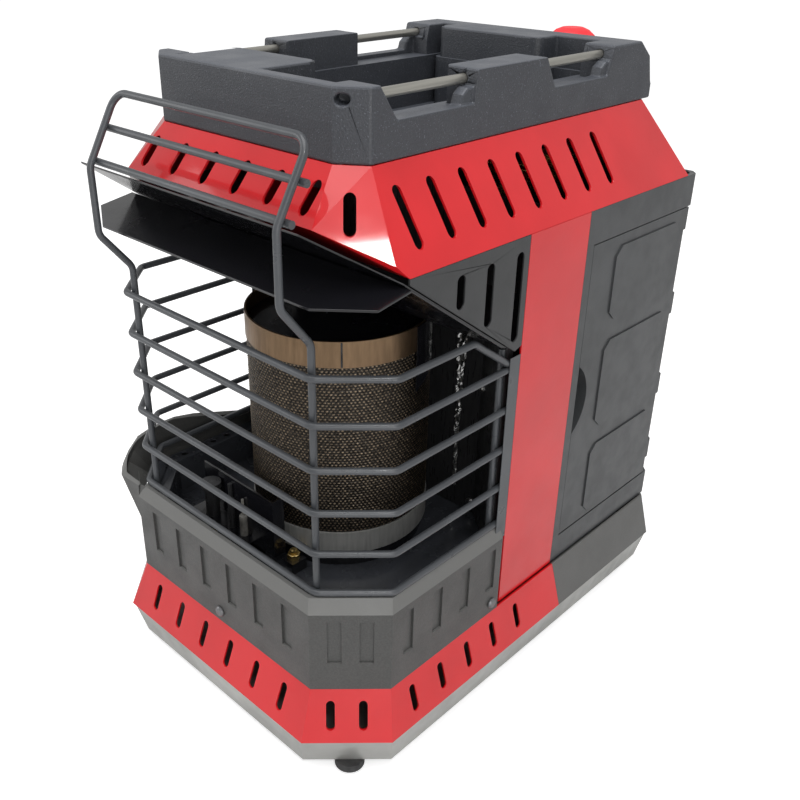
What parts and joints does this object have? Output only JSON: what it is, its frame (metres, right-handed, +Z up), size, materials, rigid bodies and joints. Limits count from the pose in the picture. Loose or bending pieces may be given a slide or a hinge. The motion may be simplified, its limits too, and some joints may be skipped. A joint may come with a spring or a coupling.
{
  "type": "portable propane heater",
  "caption": "Portable radiant gas heater: mesh burner behind a bent wire guard, slotted red hood, tray cap with handle rods, side door to the gas bay",
  "frame": {"origin": "centre of the base on the ground plane under the feet", "axes": "+Z up, -Y towards the front with the burner and guard, +X to the side with the door"},
  "size_m": [0.246, 0.3399, 0.385],
  "materials": {
    "rubber": "matt",
    "pale_pan": "satin",
    "red_paint": "gloss",
    "red_plastic": "gloss",
    "grey_plastic": "fine texture",
    "grey_paint": "satin",
    "wire": "satin",
    "black_enamel": "gloss",
    "steel": "brushed",
    "bronze": "brushed, heat tinted",
    "mesh": "woven",
    "brass": "satin",
    "black_plastic": "matt",
    "ceramic": "glazed"
  },
  "bodies": {
    "housing": {"feet": "rubber", "base_pan": "pale_pan", "lower_skirt": "red_paint", "rear_skirt": "grey_paint", "front_bumper": "grey_plastic", "bumper_screws": "steel", "burner_floor": "grey_paint", "burner_pedestal": "black_enamel", "foot_band": "steel", "burner_mesh": "mesh", "top_band": "bronze", "burner_core": "black_enamel", "mixer_tube": "steel", "gas_jet": "brass", "jet_bracket": "steel", "rear_reflector": "steel", "guard_hoop_1": "wire", "guard_hoop_2": "wire", "guard_hoop_3": "wire", "guard_hoop_4": "wire", "guard_hoop_5": "wire", "guard_hoop_6": "wire", "guard_uprights": "wire", "guard_top_wires": "wire", "guard_rear_posts": "wire", "visor": "black_enamel", "ceiling_plate": "black_enamel", "hood": "red_paint", "wedge_panel_right": "grey_paint", "wedge_panel_left": "grey_paint", "side_band_right": "red_paint", "side_band_left": "red_paint", "rear_housing": "grey_paint", "bay_wall": "steel", "bay_floor": "steel", "hinge_pin": "steel", "door_catch": "black_plastic", "top_cap": "grey_plastic", "basin_tray": "grey_plastic", "handle_rods": "steel", "control_boss": "grey_plastic", "gas_valve": "brass", "regulator": "brass", "inlet_tube": "brass", "burner_tube": "brass", "pilot_tube": "brass", "pilot_bracket": "black_enamel", "pilot_burner": "steel", "thermocouple": "steel", "igniter_electrode": "ceramic", "tip_switch": "black_plastic", "housing_screws": "steel"},
    "door": {"tank_door": "grey_paint"},
    "knob_push": {"push_collar": "steel"},
    "knob": {"control_knob": "red_plastic", "valve_stem": "steel"}
  },
  "joints": [
    {"name": "door_hinge", "type": "hinge", "parent": "housing", "child": "door", "pos_m": [0.1075, 0.1565, 0.18], "axis": [0, 0, 1], "range_deg": [0, 110]},
    {"name": "knob_press", "type": "slide", "parent": "housing", "child": "knob_push", "axis": [0, 0, -1], "range_m": [0, 0.004], "stiffness_N_per_m": 900, "springref_m": -0.002},
    {"name": "knob_turn", "type": "hinge", "parent": "knob_push", "child": "knob", "pos_m": [0.012, 0.152, 0.36], "axis": [0, 0, 1], "range_deg": [0, 210]}
  ]
}
